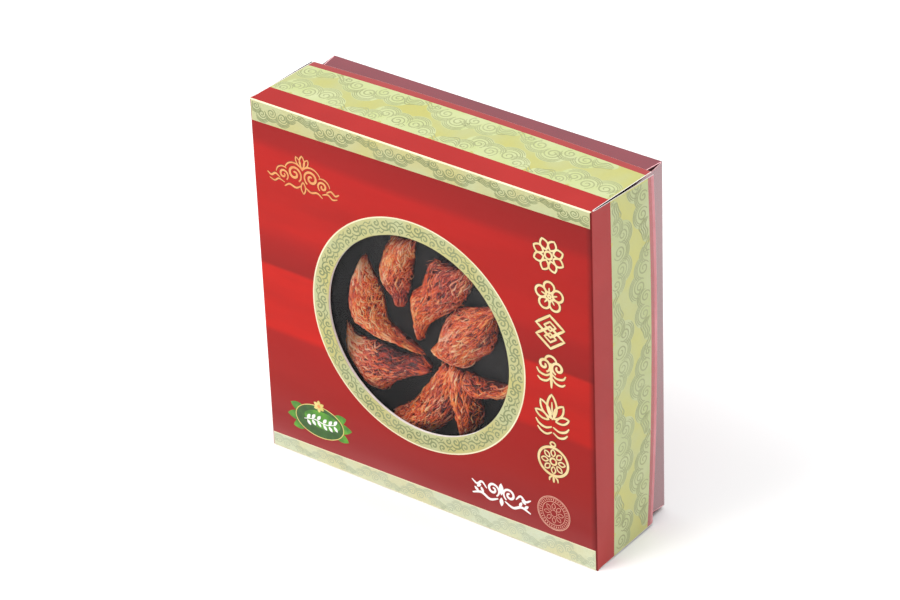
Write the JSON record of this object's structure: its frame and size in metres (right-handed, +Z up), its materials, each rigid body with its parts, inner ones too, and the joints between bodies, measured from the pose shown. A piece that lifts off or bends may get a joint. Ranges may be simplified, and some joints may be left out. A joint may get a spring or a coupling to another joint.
{
  "type": "gift box of edible bird's nests",
  "caption": "Square printed card gift box standing upright, its lid's round clear window showing a ring of dried swiftlet nests on a black platform.",
  "frame": {"origin": "middle of the upright box's footprint, on the surface it stands on", "axes": "+X to the right along the face with the window, +Y from that face back through the box, +Z up"},
  "size_m": [0.2284, 0.0694, 0.2212],
  "materials": {
    "printed_board": "gloss",
    "clear_film": "gloss",
    "tray_board": "gloss",
    "black_board": "satin",
    "dried_strands": "satin"
  },
  "bodies": {
    "root": {"lid": "printed_board", "window_film": "clear_film", "tray": "tray_board", "platform": "black_board", "nest_left": "dried_strands", "nest_top": "dried_strands", "nest_upper_right": "dried_strands", "nest_right": "dried_strands", "nest_lower_right": "dried_strands", "nest_lower_left": "dried_strands"}
  },
  "joints": []
}
